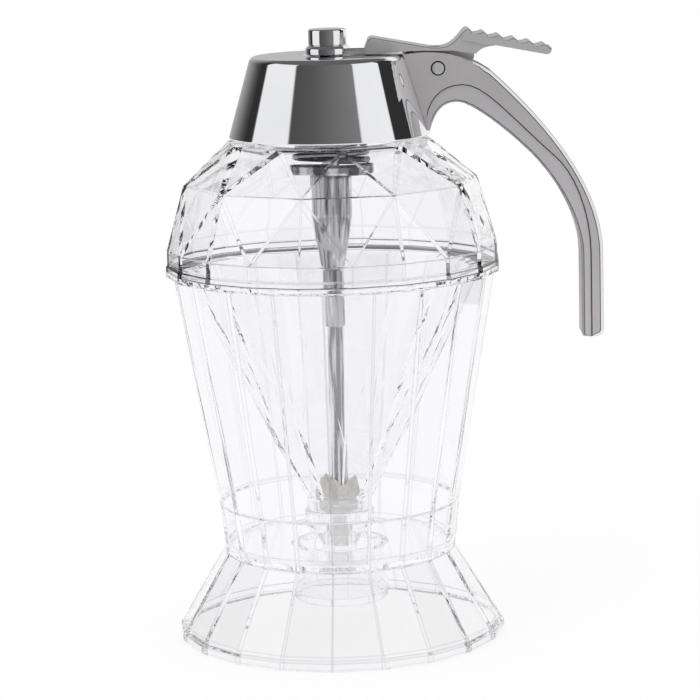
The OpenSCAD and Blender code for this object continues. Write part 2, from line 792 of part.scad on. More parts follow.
// One arm of the fork that straddles the rod under the collar
module prong(side) {
    y = side * (rod_r + prong_gap + prong_w / 2);
    translate([0, y - prong_w / 2, prong_z])
        cube([nose_out + ridge_r, prong_w, prong_t]);
    translate([0, y, prong_z + prong_t / 2])
        rotate([90, 0, 0])
            cylinder(r = prong_t / 2, h = prong_w, center = true);
}

// ---- Plunger ----
collar_z = prong_z + prong_t + seat_gap;
knob_z = collar_z + collar_t;
plate_z = cap_top_z - plate_drop;
sleeve_top_z = plate_z - plate_t;
sleeve_foot_z = sleeve_top_z - sleeve_h;
stop_foot_z = sleeve_foot_z - stop_h;
module lift_collar() {
    notch = 2 * (rod_r + prong_w + 2 * prong_gap);
    skirt_z = cap_top_z + prong_rise / 2;
    color([0.82, 0.83, 0.85])
        difference() {
            translate([0, 0, skirt_z])
                cylinder(r = collar_r, h = knob_z - skirt_z);
            translate([0, 0, skirt_z - 1])
                cylinder(r = collar_r - collar_wall, h = collar_z - skirt_z + 1);
            translate([0, -notch / 2, skirt_z - 1])
                cube([collar_r + 1, notch, collar_z - skirt_z + 1]);
            translate([0, 0, skirt_z])
                cylinder(r = rod_r + glue_gap, h = knob_z);
        }
}
knob_top_t = 1.2;
module knob() {
    cut = 0.45;
    foot_cut = 0.2;
    color([0.85, 0.86, 0.88])
        translate([0, 0, knob_z])
            rotate_extrude()
                polygon([
                    [rod_r + glue_gap, 0],
                    [knob_r - foot_cut, 0],
                    [knob_r, foot_cut],
                    [knob_r, knob_h - cut],
                    [knob_r - cut, knob_h],
                    [0, knob_h],
                    [0, knob_h - knob_top_t],
                    [rod_r + glue_gap, knob_h - knob_top_t]
                ]);
}
rod_top_z = knob_z + knob_h - knob_top_t;
rod_foot_rise = 1;
rod_foot_z = seat_top_z + rod_foot_rise;
module plunger_rod() {
    color([0.78, 0.79, 0.8])
        translate([0, 0, rod_foot_z])
            cylinder(r = rod_r, h = rod_top_z - rod_foot_z);
}
module spring_plate() {
    plate_round = 0.5;
    color([0.3, 0.3, 0.31])
        translate([0, 0, plate_z - plate_h])
            rotate_extrude()
                polygon([
                    [rod_r + glue_gap, plate_h - plate_t],
                    [plate_r - plate_t, plate_h - plate_t],
                    [plate_r - plate_t, 0],
                    [plate_r, 0],
                    [plate_r, plate_h - plate_round],
                    [plate_r - plate_round, plate_h],
                    [rod_r + glue_gap, plate_h]
                ]);
}
module rod_sleeve() {
    sleeve_edge = 0.3;
    color([0.6, 0.6, 0.61])
        translate([0, 0, sleeve_foot_z])
            rotate_extrude()
                polygon([
                    [rod_r + glue_gap, 0],
                    [sleeve_foot_r - sleeve_edge, 0],
                    [sleeve_foot_r, sleeve_edge],
                    [sleeve_r, sleeve_taper_h],
                    [sleeve_r, sleeve_h],
                    [rod_r + glue_gap, sleeve_h]
                ]);
}
module sleeve_stop() {
    stop_step = 0.4;
    color([0.7, 0.7, 0.71])
        translate([0, 0, stop_foot_z])
            rotate_extrude()
                polygon([
                    [rod_r + glue_gap, 0],
                    [stop_r - stop_step, 0],
                    [stop_r, stop_step],
                    [stop_r, stop_h - 3 * stop_step],
                    [stop_r - stop_step, stop_h - 2 * stop_step],
                    [stop_r - stop_step, stop_h],
                    [rod_r + glue_gap, stop_h]
                ]);
}

// ---- Valve plug ----
hub_r = 3.4;
hub_drop = 2.4;
hub_top_z = plug_top_z - hub_drop;
module valve_plug() {
    leg_h = 2.2;
    leg_t = 0.8;
    leg_core_r = stem_r - 0.9;
    leg_top_z = seat_foot_z - stem_h + leg_h;
    rim_h = 0.8;
    neck_h = 1.9;
    color([0.8, 0.78, 0.72])
        difference() {
            union() {
                rotate_extrude()
                    polygon([
                        [0, seat_foot_z - stem_h],
                        [leg_core_r, seat_foot_z - stem_h],
                        [leg_core_r, leg_top_z],
                        [stem_r, leg_top_z + leg_t / 2],
                        [stem_r, seat_foot_z],
                        [plug_r, seat_top_z],
                        [plug_r, seat_top_z + rim_h],
                        [plug_r - 1, seat_top_z + 2 * rim_h],
                        [hub_r, seat_top_z + neck_h],
                        [hub_r, hub_top_z],
                        [0, hub_top_z]
                    ]);
                crown();
                for (i = [0 : 3])
                    rotate([0, 0, 45 + 90 * i])
                        translate([0, -leg_t / 2, seat_foot_z - stem_h - leg_drop])
                            cube([stem_r - 0.1, leg_t, leg_h + leg_drop + leg_t]);
            }
            translate([0, 0, rod_foot_z])
                cylinder(r = rod_r + glue_gap, h = 2 * crown_h);
        }
}
// Ring of pointed fins round the hub
module crown() {
    foot_z = seat_top_z + rod_foot_rise;
    waist_z = foot_z + 3.6;
    fin_root_r = hub_r - 0.5;
    point = [fin_w * 0.3, 0.9];
    intersection() {
        rotate_extrude()
            polygon([
                [fin_root_r, foot_z],
                [plug_r - 0.2, foot_z],
                [plug_r, waist_z],
                [plug_r - 0.9, plug_top_z],
                [fin_root_r, hub_top_z]
            ]);
        for (i = [0 : crown_fins - 1])
            rotate([0, 0, 360 * (i + 0.25) / crown_fins])
                rotate([90, 0, 90])
                    linear_extrude(plug_r + 1)
                        polygon([
                            [-fin_w / 2, foot_z - 1],
                            [fin_w / 2, foot_z - 1],
                            [fin_w / 2, plug_top_z - hub_drop],
                            [point[0], plug_top_z - point[1]],
                            [0, plug_top_z],
                            [-point[0], plug_top_z - point[1]],
                            [-fin_w / 2, plug_top_z - hub_drop]
                        ]);
    }
}

// ---- Spring ----
// The wire's centre line lies on a cylinder: a straight leg, a bend, the turns, a bend and a leg.
spring_foot_z = plate_z;
spring_top_z = ceiling_z;
bend_wire = wire_d * 0.9;
ring_steps = 8;
wire_sides = 6;
turn_z0 = spring_foot_z + wire_d + bend_wire;
turn_z1 = spring_top_z - wire_d - bend_wire;
turn_steps = round(spring_turns * ring_steps);
function on_coil(a, z) = [spring_r * cos(a), spring_r * sin(a), z];
function arc_angle(d) = d / spring_r * 180 / PI;
coil_start = arc_angle(bend_wire);
foot_leg = [for (s = [0, 1]) on_coil(0, spring_foot_z + s * wire_d)];
foot_bend = [for (b = [30, 60]) on_coil(
    arc_angle(bend_wire * (1 - cos(b))), spring_foot_z + wire_d + bend_wire * sin(b))];
turns = [for (i = [0 : turn_steps]) on_coil(
    coil_start + 360 * i / ring_steps, turn_z0 + (turn_z1 - turn_z0) * i / turn_steps)];
coil_end = coil_start + 360 * turn_steps / ring_steps + coil_start;
top_bend = [for (b = [60, 30]) on_coil(
    coil_end - arc_angle(bend_wire * (1 - cos(b))), spring_top_z - wire_d - bend_wire * sin(b))];
top_leg = [for (s = [1, 0]) on_coil(coil_end, spring_top_z - s * wire_d)];
wire_path = concat(foot_leg, foot_bend, turns, top_bend, top_leg);
wire_last = len(wire_path) - 1;
function unit(v) = v / norm(v);
function wire_tangent(i) =
    i <= 1 || i >= wire_last - 1 ? [0, 0, 1] : unit(wire_path[i + 1] - wire_path[i - 1]);
function wire_ring(i) =
    let (p = wire_path[i], out = unit([p[0], p[1], 0]), side = unit(cross(wire_tangent(i), out)))
        [for (k = [0 : wire_sides - 1])
            let (a = 360 * k / wire_sides) p + wire_d / 2 * (cos(a) * out + sin(a) * side)];
module return_spring() {
    n = wire_sides;
    points = [for (i = [0 : wire_last]) each wire_ring(i)];
    sides = [for (i = [0 : wire_last - 1]) for (k = [0 : n - 1])
        let (a = n * i + k, b = n * i + (k + 1) % n)
            each [[a, a + n, b], [b, a + n, b + n]]];
    foot = [for (k = [0 : n - 1]) k];
    lid = [for (k = [n - 1 : -1 : 0]) n * wire_last + k];
    color([0.72, 0.72, 0.74])
        polyhedron(points, concat([foot], sides, [lid]), convexity = 10);
}
// Least gap between one stretch of the wire and any stretch over half a turn further on
self_gap = min([for (i = [0 : wire_last]) for (j = [i + ring_steps / 2 : 1 : wire_last])
    norm(wire_path[i] - wire_path[j])]) - wire_d;
echo(spring_self_gap = self_gap);

stand();
jar_dome();
jar_cone();
spout();
cap_gasket();
cap_shell();
cap_liner();
guide_bush();
bush_nut();
handle();
handle_screws();
lever_pin();
thumb_lever();
lift_collar();
knob();
plunger_rod();
spring_plate();
rod_sleeve();
sleeve_stop();
valve_plug();
return_spring();
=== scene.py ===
import json
import math
from types import SimpleNamespace

import bmesh
import bpy
from mathutils import Matrix, Vector


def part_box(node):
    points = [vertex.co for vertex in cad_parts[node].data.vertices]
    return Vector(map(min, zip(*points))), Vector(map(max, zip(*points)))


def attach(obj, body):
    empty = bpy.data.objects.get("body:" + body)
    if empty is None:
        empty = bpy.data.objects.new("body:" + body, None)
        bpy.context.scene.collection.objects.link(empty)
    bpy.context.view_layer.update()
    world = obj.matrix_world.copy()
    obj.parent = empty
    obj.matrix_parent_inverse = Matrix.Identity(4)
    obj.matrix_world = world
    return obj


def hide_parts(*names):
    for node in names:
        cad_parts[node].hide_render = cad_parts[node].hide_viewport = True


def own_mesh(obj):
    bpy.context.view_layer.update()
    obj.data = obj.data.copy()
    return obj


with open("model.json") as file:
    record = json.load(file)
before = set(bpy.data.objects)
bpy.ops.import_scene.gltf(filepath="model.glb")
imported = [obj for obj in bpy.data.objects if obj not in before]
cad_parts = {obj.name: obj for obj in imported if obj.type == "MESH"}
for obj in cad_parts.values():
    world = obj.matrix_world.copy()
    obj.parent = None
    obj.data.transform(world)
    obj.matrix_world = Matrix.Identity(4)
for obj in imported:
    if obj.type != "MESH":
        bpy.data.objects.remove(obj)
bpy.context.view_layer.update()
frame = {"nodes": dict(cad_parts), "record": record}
mm = 0.001
tiny = 0.002 * mm  # points closer than this are one point


def sizeOf(node):
    # how far a CAD piece reaches from the axis along X, its bottom and its top, in mm
    low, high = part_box(node)
    ends = {"radius": high.x, "bottom": low.z, "top": high.z}
    return SimpleNamespace(**{label: round(value / mm, 3) for label, value in ends.items()})


class Wire:
    # The output of a node. A sum on it adds a Math node to its tree.
    def __init__(self, make, out):
        self.make = make
        self.out = out

    def math(self, op, a, b):
        return self.make.add("ShaderNodeMath", {"operation": op}, {0: a, 1: b})

    def __add__(self, other):
        return self.math("ADD", self, other)

    def __sub__(self, other):
        return self.math("SUBTRACT", self, other)

    def __rsub__(self, other):
        return self.math("SUBTRACT", other, self)

    def __mul__(self, other):
        return self.math("MULTIPLY", self, other)

    def __truediv__(self, other):
        return self.math("DIVIDE", self, other)

    def __mod__(self, other):
        return self.math("FLOORED_MODULO", self, other)

    def least(self, other):
        return self.math("MINIMUM", self, other)

    def most(self, other):
        return self.math("MAXIMUM", self, other)

    def to(self, op):
        return self.make.add("ShaderNodeMath", {"operation": op}, {0: self})


class Maker:
    # Adds nodes to one tree: a type, its settings, then the values or wires of its inputs.
    def __init__(self, tree):
        self.tree = tree

    def add(self, kind, settings=None, inputs=None, out=0):
        node = self.tree.nodes.new(kind)
        for name, value in (settings or {}).items():
            if name == "stops":
                self.setStops(node.color_ramp, value)
            else:
                setattr(node, name, value)
        for key, value in (inputs or {}).items():
            if isinstance(value, Wire):
                self.tree.links.new(value.out, node.inputs[key])
            else:
                node.inputs[key].default_value = value
        if isinstance(out, tuple):
            return [Wire(self, node.outputs[o]) for o in out]
        return Wire(self, node.outputs[out]) if len(node.outputs) else None

    def setStops(self, ramp, stops):
        while len(ramp.elements) > 1:
            ramp.elements.remove(ramp.elements[-1])
        for i, (place, shade) in enumerate(stops):
            stop = ramp.elements[0] if i == 0 else ramp.elements.new(place)
            stop.position = place
            stop.color = (*shade, 1) if isinstance(shade, tuple) else (shade, shade, shade, 1)

    def mix(self, share, a, b):
        return self.add("ShaderNodeMix", {"data_type": "RGBA"}, {0: share, 6: a, 7: b}, out=2)

    def noise(self, where, scale, detail):
        return self.add("ShaderNodeTexNoise", {}, {"Vector": where, "Scale": scale, "Detail": detail})

    def ease(self, value, start, end):
        return self.add("ShaderNodeMapRange", {"interpolation_type": "SMOOTHSTEP"}, {
            "Value": value, "From Min": start, "From Max": end})

    def mark(self, name):
        return self.add("ShaderNodeAttribute", {"attribute_name": name}, out="Fac")


def newMaterial(name):
    mat = bpy.data.materials.new(name)
    mat.use_nodes = True
    mat.node_tree.nodes.clear()
    return mat, Maker(mat.node_tree)


def finishMaterial(make, shader):
    make.add("ShaderNodeOutputMaterial", {}, {"Surface": shader})


# Attributes on the faces say how each is finished: one marks cut or rounded edges, which the clear pieces
# tint grey as painted shade; one marks painted shade along grooves and dark lines; one marks a painted
# highlight on polished faces; and one marks the paler metal between the handle's cheeks.
def acrylic(name, look):
    mat, make = newMaterial(name)
    here = make.add("ShaderNodeTexCoord", out="Object")
    scuffs = make.noise(here, look["scuffScale"], 4.0)
    edge = make.mark("edge")
    rough = scuffs * look["scuffRough"] + edge * look["edgeRough"] + look["rough"]
    ripple = make.noise(here, look["rippleScale"], 1.0)
    bump = make.add("ShaderNodeBump", {}, {
        "Strength": look["rippleStrength"], "Distance": look["rippleDepth"], "Height": ripple})
    # The bevels are tinted grey: painted shade standing in for the dark lines that refraction makes along
    # the edges.
    tint = make.mix(edge, look["colour"], look["edgeShadeColour"])
    shader = make.add("ShaderNodeBsdfPrincipled", {}, {
        "Base Color": tint, "Roughness": rough, "IOR": look["ior"], "Transmission Weight": 1.0,
        "Normal": bump})
    finishMaterial(make, shader)
    return mat


# The look gives the colour of worn edges, the near-white of a painted highlight, the near-black of painted
# shade in grooves and dark lines, and the colour of inner faces.
plainMetal = {
    "metallic": 1.0, "grainStretch": (1, 1, 1), "grainDepth": 0.05 * mm, "smudgeScale": 90.0,
    "smudgeRough": 0.02, "wear": 0.6, "wornLeast": 0.35, "worn": (0.9, 0.9, 0.91, 1),
    "bright": (0.95, 0.95, 0.95, 1), "paintedHighlightMatte": 0.75, "paintedShadeColour": (0.03, 0.03, 0.035, 1), "paintedShadeRough": 0.2,
    "paintedShadeMatte": 0.7, "inner": (0.8, 0.8, 0.8, 1)}


def metal(name, look):
    look = {**plainMetal, **look}
    mat, make = newMaterial(name)
    here = make.add("ShaderNodeTexCoord", out="Object")
    stretched = make.add("ShaderNodeMapping", {}, {"Vector": here, "Scale": look["grainStretch"]})
    grain = make.noise(stretched, look["grainScale"], 6.0)
    smudge = make.noise(here, look["smudgeScale"], 3.0)
    edge = make.mark("edge")
    groove = make.mark("groove")
    inner = make.mark("inner")
    shine = make.mark("shine")
    tint = make.mix(smudge, look["dark"], look["light"])
    if "streaks" in look:
        streaks = look["streaks"]
        drawn = make.add("ShaderNodeMapping", {}, {"Vector": here, "Scale": (1, 1, streaks["stretch"])})
        lines = make.add("ShaderNodeTexNoise", {}, {
            "Vector": drawn, "Scale": streaks["scale"], "Detail": 1.0, "Distortion": 0.6})
        ramp = make.add("ShaderNodeValToRGB", {"stops": streaks["stops"]}, {"Fac": lines})
        tint = make.add("ShaderNodeMix", {"data_type": "RGBA", "blend_type": "MULTIPLY"}, {
            0: 1.0, 6: tint, 7: ramp}, out=2)
    tint = make.mix(inner, tint, look["inner"])
    worn = edge * (grain + look["wornLeast"]) * look["wear"]
    tint = make.mix(worn.least(1.0), tint, look["worn"])
    # painted highlight: marked faces turn near-white and less metallic
    tint = make.mix(shine, tint, look["bright"])
    # painted shade: faces marked for grooves and dark lines turn near-black, rougher and less metallic
    tint = make.mix(groove, tint, look["paintedShadeColour"])
    rough = (grain * look["grainRough"] + smudge * look["smudgeRough"] + look["rough"]
             + groove * look["paintedShadeRough"])
    bump = make.add("ShaderNodeBump", {}, {
        "Strength": look["grainBump"], "Distance": look["grainDepth"], "Height": grain})
    metallic = (1.0 - shine * look["paintedHighlightMatte"] - groove * look["paintedShadeMatte"]) * look["metallic"]
    shader = make.add("ShaderNodeBsdfPrincipled", {}, {
        "Base Color": tint, "Metallic": metallic, "Roughness": rough, "Normal": bump})
    finishMaterial(make, shader)
    return mat


plainPlastic = {"cloudRough": 0.15, "cloudDepth": 0.1 * mm, "edgeLift": 0.5, "edgePolish": 0.05,
                "ior": 1.42, "clear": 0.0, "glow": 0.0}


def softPlastic(name, look):
    look = {**plainPlastic, **look}
    mat, make = newMaterial(name)
    here = make.add("ShaderNodeTexCoord", out="Object")
    cloud = make.noise(here, look["cloudScale"], 4.0)
    edge = make.mark("edge")
    tint = make.mix(cloud, look["dark"], look["light"])
    if "paleBelow" in look:
        z = make.add("ShaderNodeSeparateXYZ", {}, {0: here}, out=2)
        tint = make.mix(make.ease(z, look["darkAbove"], look["paleBelow"]), tint, look["pale"])
    tint = make.mix(edge * look["edgeLift"], tint, look["light"])
    rough = cloud * look["cloudRough"] + look["rough"] - edge * look["edgePolish"]
    bump = make.add("ShaderNodeBump", {}, {
        "Strength": look["bump"], "Distance": look["cloudDepth"], "Height": cloud})
    # Where a look sets a glow, the plastic emits its own colour. This is painted light that makes up for
    # the light the clear walls round the piece hold back.
    shader = make.add("ShaderNodeBsdfPrincipled", {}, {
        "Base Color": tint, "Roughness": rough, "Normal": bump, "IOR": look["ior"],
        "Transmission Weight": look["clear"], "Emission Color": tint, "Emission Strength": look["glow"]})
    finishMaterial(make, shader)
    return mat


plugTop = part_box("valve_plug")[1].z
materials = {
    "clear_acrylic": acrylic("clearAcrylic", {
        "colour": (0.985, 0.985, 0.995, 1), "edgeShadeColour": (0.78, 0.77, 0.8, 1), "ior": 1.49, "rough": 0.0,
        "edgeRough": 0.08, "scuffScale": 260.0, "scuffRough": 0.012, "rippleScale": 55.0,
        "rippleStrength": 0.04, "rippleDepth": 0.4 * mm}),
    "chrome": metal("chrome", {
        "dark": (0.86, 0.865, 0.88, 1), "light": (0.93, 0.93, 0.945, 1), "rough": 0.02, "grainScale": 700.0,
        "grainRough": 0.02, "grainBump": 0.02, "wear": 0.2}),
    "cast_metal": metal("castMetal", {
        "dark": (0.58, 0.555, 0.56, 1), "light": (0.64, 0.615, 0.62, 1), "inner": (0.66, 0.645, 0.655, 1),
        "metallic": 0.6, "rough": 0.34, "grainScale": 2600.0, "grainRough": 0.14, "grainBump": 0.4}),
    "lever_metal": metal("leverMetal", {
        "dark": (0.66, 0.65, 0.65, 1), "light": (0.72, 0.71, 0.71, 1), "metallic": 0.65, "rough": 0.28,
        "grainScale": 2600.0, "grainRough": 0.14, "grainBump": 0.35}),
    "steel": metal("turnedSteel", {
        "dark": (0.74, 0.74, 0.75, 1), "light": (0.84, 0.84, 0.85, 1), "rough": 0.06, "grainScale": 900.0,
        "grainStretch": (1, 1, 12), "grainRough": 0.08, "grainBump": 0.1, "streaks": {
            "scale": 900.0, "stretch": 0.05,
            "stops": [(0.38, 0.25), (0.46, 0.7), (0.56, 0.75), (0.62, 1.1)]}}),
    "dark_steel": metal("darkSteel", {
        "dark": (0.4, 0.4, 0.405, 1), "light": (0.66, 0.66, 0.665, 1), "rough": 0.06, "grainScale": 1200.0,
        "grainRough": 0.1, "grainBump": 0.2, "streaks": {
            "scale": 260.0, "stretch": 0.3,
            "stops": [(0.4, 0.12), (0.47, 0.6), (0.53, 0.8), (0.6, 1.35)]}}),
    "satin_tube": metal("satinTube", {
        "dark": (0.5, 0.5, 0.505, 1), "light": (0.6, 0.6, 0.605, 1), "rough": 0.1, "grainScale": 1500.0,
        "grainStretch": (1, 1, 8), "grainRough": 0.1, "grainBump": 0.2, "streaks": {
            "scale": 700.0, "stretch": 0.09,
            "stops": [(0.36, 0.35), (0.45, 0.85), (0.58, 0.95), (0.66, 1.3)]}}),
    "spring_wire": metal("springWire", {
        "dark": (0.22, 0.22, 0.23, 1), "light": (0.4, 0.4, 0.41, 1), "rough": 0.08, "grainScale": 1800.0,
        "grainRough": 0.08, "grainBump": 0.15}),
    "frosted_silicone": softPlastic("frostedSilicone", {
        "dark": (0.5, 0.49, 0.45, 1), "light": (0.86, 0.85, 0.81, 1), "rough": 0.3, "cloudScale": 300.0,
        "pale": (0.93, 0.92, 0.9, 1),  # of the part below the fins
        "darkAbove": plugTop - 5.0 * mm, "paleBelow": plugTop - 8.5 * mm,
        # the glow is painted light, making up for light held back by the acrylic round the plug
        "bump": 0.15, "clear": 0.12, "glow": 0.28}),
    "white_silicone": softPlastic("whiteSilicone", {
        "dark": (0.78, 0.77, 0.74, 1), "light": (0.86, 0.85, 0.82, 1), "rough": 0.45, "cloudScale": 200.0,
        "bump": 0.1}),
    "liner_plastic": softPlastic("linerPlastic", {
        "dark": (0.8, 0.8, 0.8, 1), "light": (0.88, 0.88, 0.88, 1), "rough": 0.35, "cloudScale": 150.0,
        "bump": 0.1}),
}
print("materials made:", len(materials))


def slotOf(node):
    return next(s["material_slot"] for s in frame["record"]["subparts"] if s["node"] == node)


def bodyOf(node):
    return next(b for b, members in frame["record"]["behaviour"]["bodies"].items() if node in members)


def place(piece, node):
    slot = slotOf(node)
    if not piece.data.materials:
        piece.data.materials.append(materials[slot])
    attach(piece, bodyOf(node))
    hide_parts(node)
    return piece


def linked(name, mesh):
    piece = bpy.data.objects.new(name, mesh)
    bpy.context.scene.collection.objects.link(piece)
    return piece


def newPiece(name, bm):
    mesh = bpy.data.meshes.new(name)
    bm.to_mesh(mesh)
    bm.free()
    return linked(name, mesh)


def seenMesh(piece):
    # the mesh that the modifiers of a piece make
    bpy.context.view_layer.update()
    return bpy.data.meshes.new_from_object(piece.evaluated_get(bpy.context.evaluated_depsgraph_get()))


def sharpen(bm, limit, roundRadius=None, cheeks=False):
    # faces are smooth across edges flatter than the limit; outside roundRadius every face is a flat panel,
    # and so is a face across the Y axis if cheeks is set
    panelNormal = 0.999
    for face in bm.faces:
        face.smooth = roundRadius is None or all(v.co.xy.length < roundRadius for v in face.verts)
        if cheeks and abs(face.normal.y) > panelNormal:
            face.smooth = False
    for edge in bm.edges:
        if len(edge.link_faces) == 2:
            edge.smooth = edge.calc_face_angle(0.0) < math.radians(limit)


def copiedMesh(node):
    # the triangles of each flat face of the CAD piece become one face
    flat = math.radians(0.4)
    bm = bmesh.new()
    bm.from_mesh(frame["nodes"][node].data)
    bmesh.ops.remove_doubles(bm, verts=bm.verts, dist=tiny)
    bmesh.ops.dissolve_limit(bm, angle_limit=flat, verts=bm.verts, edges=bm.edges)
    return bm


def cutEdges(bm, edges, width, segments, marks, clamp):
    # bevels the edges and gives the new faces their marks
    made = bmesh.ops.bevel(bm, geom=edges, offset=width * mm, segments=segments, profile=0.5,
                           affect="EDGES", clamp_overlap=clamp)["faces"]
    for name, value in marks.items():
        layer = bm.faces.layers.float[name]
        for face in made:
            face[layer] = value
    return made


# Edges of a copied piece that are sharper than "from" (degrees) are bevelled. A piece with flat panels
# has them beyond the radius "panelsOutside", and "fromInside" goes for its round middle.
plainBevel = {"segments": 2, "from": 40, "fromInside": 40, "panelsOutside": 0, "smooth": 32, "clamp": True}


def bevelledCopy(node, name, look):
    look = {**plainBevel, **look}
    bm = copiedMesh(node)
    bm.faces.layers.float.new("edge")
    outside = look["panelsOutside"] * mm
    edges = []
    for e in bm.edges:
        if len(e.link_faces) != 2:
            continue
        isOut = all(v.co.xy.length > outside for v in e.verts)
        if math.degrees(e.calc_face_angle(0.0)) > look["from" if isOut else "fromInside"]:
            edges.append(e)
    cutEdges(bm, edges, look["width"], look["segments"], {"edge": 1.0}, look["clamp"])
    bmesh.ops.dissolve_degenerate(bm, dist=tiny, edges=bm.edges)
    sharpen(bm, look["smooth"], outside or None)
    return place(newPiece(name, bm), node)


# Node groups that make a mesh: the inputs are named, and the values are set by each socket's identifier.
def newGroup(name, inputs):
    tree = bpy.data.node_groups.new(name, "GeometryNodeTree")
    tree.interface.new_socket("Geometry", in_out="INPUT", socket_type="NodeSocketGeometry")
    tree.interface.new_socket("Geometry", in_out="OUTPUT", socket_type="NodeSocketGeometry")
    for label, (kind, value) in inputs.items():
        socket = tree.interface.new_socket(label, in_out="INPUT", socket_type="NodeSocket" + kind)
        if value is not None:
            socket.default_value = value
    make = Maker(tree)
    source = tree.nodes.new("NodeGroupInput")
    return make, {out.name: Wire(make, out) for out in source.outputs if out.name}


def endGroup(make, shape, finish):
    real = make.add("GeometryNodeRealizeInstances", {}, {0: shape})
    coated = make.add("GeometryNodeSetMaterial", {}, {"Geometry": real, "Material": finish})
    make.add("NodeGroupOutput", {}, {0: coated})
    return make.tree


def grown(name, tree, source, values):
    # the mesh that a node group makes from the source mesh
    host = linked(name + "Source", source)
    modifier = host.modifiers.new("grow", "NODES")
    modifier.node_group = tree
    sockets = {item.name: item.identifier for item in tree.interface.items_tree if item.in_out == "INPUT"}
    for label, value in values.items():
        modifier[sockets[label]] = value
    mesh = seenMesh(host)
    host.modifiers.remove(modifier)
    bpy.data.objects.remove(host)
    mesh.name = name
    return mesh


def lineMesh(name, points):
    mesh = bpy.data.meshes.new(name)
    mesh.from_pydata([Vector(p) * mm for p in points], [(i, i + 1) for i in range(len(points) - 1)], [])
    return mesh


# A closed outline in X and Z is turned about the Z axis.
def makeTurnedGroup():
    make, given = newGroup("turnedPiece", {"Steps": ("Int", 160), "Finish": ("Material", None)})
    count = make.add("GeometryNodeAttributeDomainSize", {"component": "MESH"}, {
        "Geometry": given["Geometry"]})
    steps = given["Steps"]
    row = count + 1.0
    grid = make.add("GeometryNodeMeshGrid", {}, {"Vertices X": steps + 1.0, "Vertices Y": row})
    index = make.add("GeometryNodeInputIndex")
    angle = (index / row).to("FLOOR") * (2 * math.pi) / steps
    position = make.add("GeometryNodeInputPosition")
    point = make.add("GeometryNodeSampleIndex", {"data_type": "FLOAT_VECTOR", "domain": "POINT"}, {
        "Geometry": given["Geometry"], "Value": position, "Index": (index % row) % count})
    radius, height = make.add("ShaderNodeSeparateXYZ", {}, {0: point}, out=(0, 2))
    turned = make.add("ShaderNodeCombineXYZ", {}, {
        "X": radius * angle.to("COSINE"), "Y": radius * angle.to("SINE"), "Z": height})
    moved = make.add("GeometryNodeSetPosition", {}, {"Geometry": grid, "Position": turned})
    merged = make.add("GeometryNodeMergeByDistance", {}, {"Geometry": moved, "Distance": tiny})
    return endGroup(make, merged, given["Finish"])


turnedGroup = makeTurnedGroup()


def filleted(corners, segments):
    # corners: radius, height and fillet in mm; a fillet takes less than half of the sides beside it
    longest = 0.48
    points = []
    for i, (r, z, fillet) in enumerate(corners):
        here = Vector((r, z))
        if fillet <= 0:
            points.append(here)
            continue
        before = Vector(corners[i - 1][:2]) - here
        after = Vector(corners[(i + 1) % len(corners)][:2]) - here
        half = before.angle(after) / 2
        cut = min(fillet / math.tan(half), before.length * longest, after.length * longest)
        first, last = here + before.normalized() * cut, here + after.normalized() * cut
        pull = math.sin(half)
        for k in range(segments + 1):
            u = k / segments
            a, b, c = (1 - u) ** 2, 2 * u * (1 - u) * pull, u * u
            points.append((first * a + here * b + last * c) / (a + b + c))
    return [(p.x, 0, p.y) for p in points]


plainTurned = {"steps": 160, "segments": 4, "smooth": 30, "marks": ()}


def turnedPiece(node, name, corners, look):
    look = {**plainTurned, **look}
    outline = lineMesh(name + "Outline", filleted(corners, look["segments"]))
    mesh = grown(name, turnedGroup, outline, {"Steps": look["steps"], "Finish": materials[slotOf(node)]})
    bm = bmesh.new()
    bm.from_mesh(mesh)
    bmesh.ops.recalc_face_normals(bm, faces=bm.faces)
    sharpen(bm, look["smooth"])
    for label, inside, outside, value in look["marks"]:
        layer = bm.faces.layers.float.get(label) or bm.faces.layers.float.new(label)
        for face in bm.faces:
            centre = face.calc_center_median()
            if inside * mm < centre.xy.length < outside * mm and abs(centre.z) > look["marksFrom"] * mm:
                face[layer] = value
    if "turn" in look:
        bmesh.ops.transform(bm, matrix=look["turn"], verts=bm.verts)
    bm.to_mesh(mesh)
    bm.free()
    return place(linked(name, mesh), node)


def cutAway(piece, bm):
    cutter = newPiece(piece.name + "Cutter", bm)
    cut = piece.modifiers.new("cut", "BOOLEAN")
    cut.object, cut.operation, cut.solver = cutter, "DIFFERENCE", "EXACT"
    mesh = seenMesh(piece)
    piece.modifiers.remove(cut)
    piece.data = mesh
    bpy.data.objects.remove(cutter)


def screwHoles(look, height):
    # the cutter for the two screws, along X
    start, end = look["screwsFromTo"]
    radius = look["screwRadius"] * mm
    bm = bmesh.new()
    for side in (-1, 1):
        at = Matrix.Translation(Vector(((start + end) / 2, side * look["screwSide"], height)) * mm)
        bmesh.ops.create_cone(bm, cap_ends=True, segments=48, radius1=radius, radius2=radius,
                              depth=(end - start) * mm, matrix=at @ Matrix.Rotation(math.pi / 2, 4, "Y"))
    return bm


def boxBetween(low, high):
    bm = bmesh.new()
    bmesh.ops.create_cube(bm, size=1.0)
    for v in bm.verts:
        v.co = Vector([(low[i] + high[i]) / 2 + v.co[i] * (high[i] - low[i]) for i in range(3)]) * mm
    return bm


panelLook = {"width": 0.22, "from": 1.5}
bevelledCopy("stand", "clearStand", {**panelLook, "panelsOutside": 13.0})
bevelledCopy("jar_dome", "clearDome", {**panelLook, "panelsOutside": 20.3, "width": 0.11})
bevelledCopy("jar_cone", "clearCone", {**panelLook, "panelsOutside": 8.7, "width": 0.16})
print("clear panels finished")

